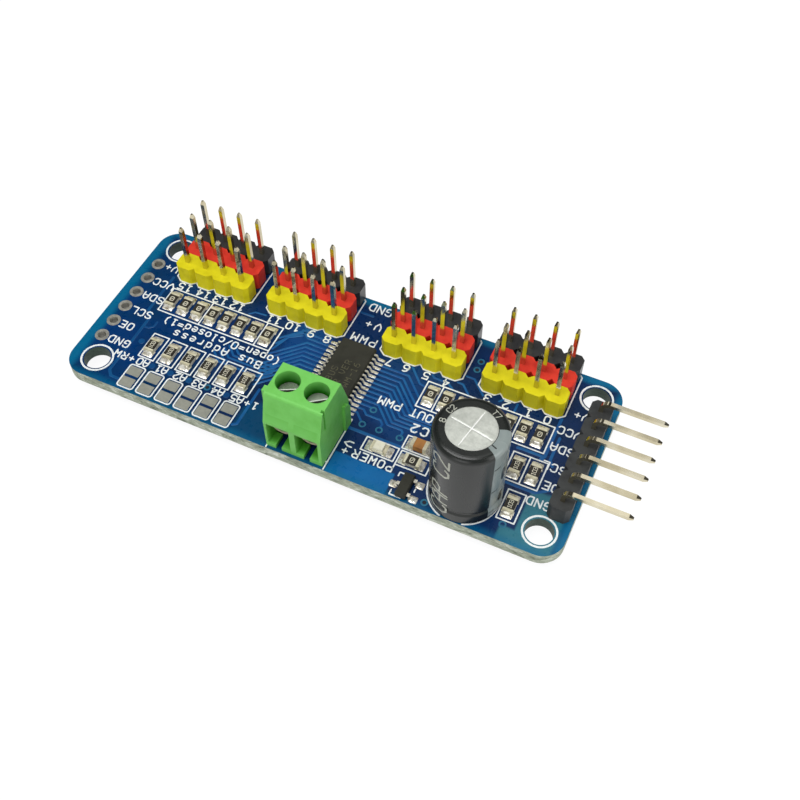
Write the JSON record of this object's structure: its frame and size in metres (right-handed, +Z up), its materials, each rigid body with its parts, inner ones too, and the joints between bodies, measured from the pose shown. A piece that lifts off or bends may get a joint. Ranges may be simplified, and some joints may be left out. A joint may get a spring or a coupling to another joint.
{
  "type": "servo driver board",
  "caption": "Blue servo driver board with coloured three-row pin headers, a green two-way screw terminal, a can capacitor, a driver chip and a right-angle control header.",
  "frame": {"origin": "centre of the four mounting holes, on the underside of the board", "axes": "+X along the board towards the right-angle control header, +Y towards the servo headers, +Z up out of the component side"},
  "size_m": [0.0679, 0.0252, 0.0153],
  "materials": {
    "board": "glossy solder mask over glass laminate",
    "strip_yellow": "moulded, satin",
    "strip_red": "moulded, satin",
    "strip_black": "moulded, satin",
    "strip_black_matt": "moulded, matt",
    "pin_metal": "tin plated, drawn",
    "terminal_green": "moulded, satin",
    "screw_steel": "zinc plated",
    "cage_steel": "plated, slightly tarnished",
    "contact_brass": "tin plated",
    "can_aluminium": "satin, scored",
    "sleeve_black": "shrunk film, satin",
    "bung_rubber": "matt",
    "winding_paper": "wound foil and paper, matt",
    "lead_metal": "tin plated",
    "chip_black": "moulded, matt",
    "led_cream": "clear cast over white",
    "ceramic_brown": "fired, satin",
    "end_caps": "solder coated",
    "resistor_coat": "glaze, satin"
  },
  "bodies": {
    "board": {"pcb": "board", "signal_header_1": "strip_yellow", "signal_header_2": "strip_yellow", "signal_header_3": "strip_yellow", "signal_header_4": "strip_yellow", "power_header_1": "strip_red", "power_header_2": "strip_red", "power_header_3": "strip_red", "power_header_4": "strip_red", "ground_header_1": "strip_black", "ground_header_2": "strip_black", "ground_header_3": "strip_black", "ground_header_4": "strip_black", "signal_pins_1": "pin_metal", "signal_pins_2": "pin_metal", "signal_pins_3": "pin_metal", "signal_pins_4": "pin_metal", "power_pins_1": "pin_metal", "power_pins_2": "pin_metal", "power_pins_3": "pin_metal", "power_pins_4": "pin_metal", "ground_pins_1": "pin_metal", "ground_pins_2": "pin_metal", "ground_pins_3": "pin_metal", "ground_pins_4": "pin_metal", "control_header": "strip_black_matt", "control_pins": "pin_metal", "terminal_housing": "terminal_green", "terminal_contact_left": "contact_brass", "terminal_contact_right": "contact_brass", "capacitor_can": "can_aluminium", "capacitor_sleeve": "sleeve_black", "capacitor_bung": "bung_rubber", "capacitor_winding": "winding_paper", "capacitor_leads": "lead_metal", "driver_chip_body": "chip_black", "driver_chip_leads": "lead_metal", "transistor_body": "chip_black", "transistor_leads": "lead_metal", "power_led_body": "led_cream", "power_led_ends": "end_caps", "ceramic_capacitor_body": "ceramic_brown", "ceramic_capacitor_ends": "end_caps", "series_resistors_left": "resistor_coat", "series_resistor_ends_left": "end_caps", "series_resistors_right": "resistor_coat", "series_resistor_ends_right": "end_caps", "address_resistors": "resistor_coat", "address_resistor_ends": "end_caps", "bus_resistors": "resistor_coat", "bus_resistor_ends": "end_caps", "led_resistor": "resistor_coat", "led_resistor_ends": "end_caps"},
    "screw_left": {"terminal_screw_left": "screw_steel"},
    "screw_right": {"terminal_screw_right": "screw_steel"},
    "cage_left": {"terminal_cage_left": "cage_steel"},
    "cage_right": {"terminal_cage_right": "cage_steel"}
  },
  "joints": [
    {"name": "screw_left_turn", "type": "hinge", "parent": "board", "child": "screw_left", "pos_m": [-0.002, -0.0086, 0.008], "axis": [0, 0, 1], "range_deg": [-351.5, 873.5]},
    {"name": "screw_right_turn", "type": "hinge", "parent": "board", "child": "screw_right", "pos_m": [0.0015, -0.0086, 0.008], "axis": [0, 0, 1], "range_deg": [-351.5, 873.5]},
    {"name": "cage_left_slide", "type": "slide", "parent": "board", "child": "cage_left", "axis": [0, 0, 1], "range_m": [-0.00097, 0.00039]},
    {"name": "cage_right_slide", "type": "slide", "parent": "board", "child": "cage_right", "axis": [0, 0, 1], "range_m": [-0.00097, 0.00039]}
  ],
  "couplings": [
    {"joint": "screw_left_turn", "follows": "cage_left_slide", "rad_per_m": -15708},
    {"joint": "screw_right_turn", "follows": "cage_right_slide", "rad_per_m": -15708}
  ]
}
